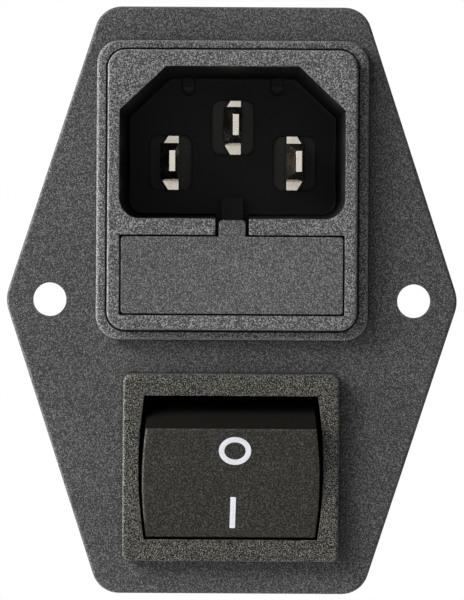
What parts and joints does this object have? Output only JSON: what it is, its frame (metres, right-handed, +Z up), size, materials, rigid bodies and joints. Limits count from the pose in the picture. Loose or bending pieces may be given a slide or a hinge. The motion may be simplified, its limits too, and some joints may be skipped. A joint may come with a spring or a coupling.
{
  "type": "power entry module",
  "caption": "Six-sided panel module with a fused mains inlet above a rocker switch; the fuse drawer slides out and the rocker tilts.",
  "frame": {"origin": "centre of the mounting plate's rear face, halfway between the two screw holes", "axes": "+X to the right as the user sees the front, -Y out of the front face, +Z up with the inlet above the switch"},
  "size_m": [0.0494, 0.0347, 0.0644],
  "materials": {
    "plate_plastic": "fine spark-eroded grain, dark grey",
    "inlet_plastic": "grained face, smooth dark socket",
    "cover_plastic": "smooth dark plastic",
    "drawer_plastic": "fine grain, dark grey",
    "bezel_plastic": "coarse grain, warm dark grey",
    "rocker_plastic": "smooth satin, warm black",
    "plunger_plastic": "smooth natural plastic",
    "pin_nickel": "bright nickel plating",
    "cap_nickel": "bright nickel plating",
    "contact_brass": "rolled strip",
    "tab_brass": "tinned strip",
    "contact_silver": "silver contact button",
    "spring_steel": "drawn wire",
    "fuse_glass": "clear tube"
  },
  "bodies": {
    "frame": {"mounting_plate": "plate_plastic", "inlet_housing": "inlet_plastic", "inlet_rear_cover": "cover_plastic", "line_pin": "pin_nickel", "neutral_pin": "pin_nickel", "earth_pin": "pin_nickel", "fuse_contact_inner": "contact_brass", "fuse_contact_outer": "contact_brass", "switch_housing": "bezel_plastic", "common_terminal_left": "tab_brass", "switched_terminal_left": "tab_brass", "fixed_contact_left": "contact_silver", "common_terminal_right": "tab_brass", "switched_terminal_right": "tab_brass", "fixed_contact_right": "contact_silver"},
    "rocker": {"rocker": "rocker_plastic", "plunger_spring_left": "spring_steel", "plunger_spring_right": "spring_steel"},
    "fuse_drawer": {"fuse_drawer": "drawer_plastic", "fuse_glass": "fuse_glass", "fuse_cap_left": "cap_nickel", "fuse_cap_right": "cap_nickel", "fuse_wire": "cap_nickel"},
    "plunger_left": {"plunger_left": "plunger_plastic"},
    "lever_left": {"contact_lever_left": "contact_brass", "moving_contact_left": "contact_silver"},
    "plunger_right": {"plunger_right": "plunger_plastic"},
    "lever_right": {"contact_lever_right": "contact_brass", "moving_contact_right": "contact_silver"}
  },
  "joints": [
    {"name": "rocker_hinge", "type": "hinge", "parent": "frame", "child": "rocker", "pos_m": [0, 0.00294, -0.01829], "axis": [1, 0, 0], "range_deg": [-24, 0]},
    {"name": "drawer_slide", "type": "slide", "parent": "frame", "child": "fuse_drawer", "axis": [0, -1, 0], "range_m": [0, 0.016]},
    {"name": "plunger_slide_left", "type": "slide", "parent": "rocker", "child": "plunger_left", "axis": [0, -0.9781, -0.2079], "range_m": [0, 0.0008], "stiffness_N_per_m": 300, "springref_m": -0.002, "deforming": ["plunger_spring_left"]},
    {"name": "lever_hinge_left", "type": "hinge", "parent": "frame", "child": "lever_left", "pos_m": [-0.005, 0.01308, -0.01829], "axis": [1, 0, 0], "range_deg": [0, 24]},
    {"name": "plunger_slide_right", "type": "slide", "parent": "rocker", "child": "plunger_right", "axis": [0, -0.9781, -0.2079], "range_m": [0, 0.0008], "stiffness_N_per_m": 300, "springref_m": -0.002, "deforming": ["plunger_spring_right"]},
    {"name": "lever_hinge_right", "type": "hinge", "parent": "frame", "child": "lever_right", "pos_m": [0.005, 0.01308, -0.01829], "axis": [1, 0, 0], "range_deg": [0, 24]}
  ],
  "couplings": [
    {"joint": "lever_hinge_left", "follows": "rocker_hinge", "ratio": -1},
    {"joint": "lever_hinge_right", "follows": "rocker_hinge", "ratio": -1}
  ]
}
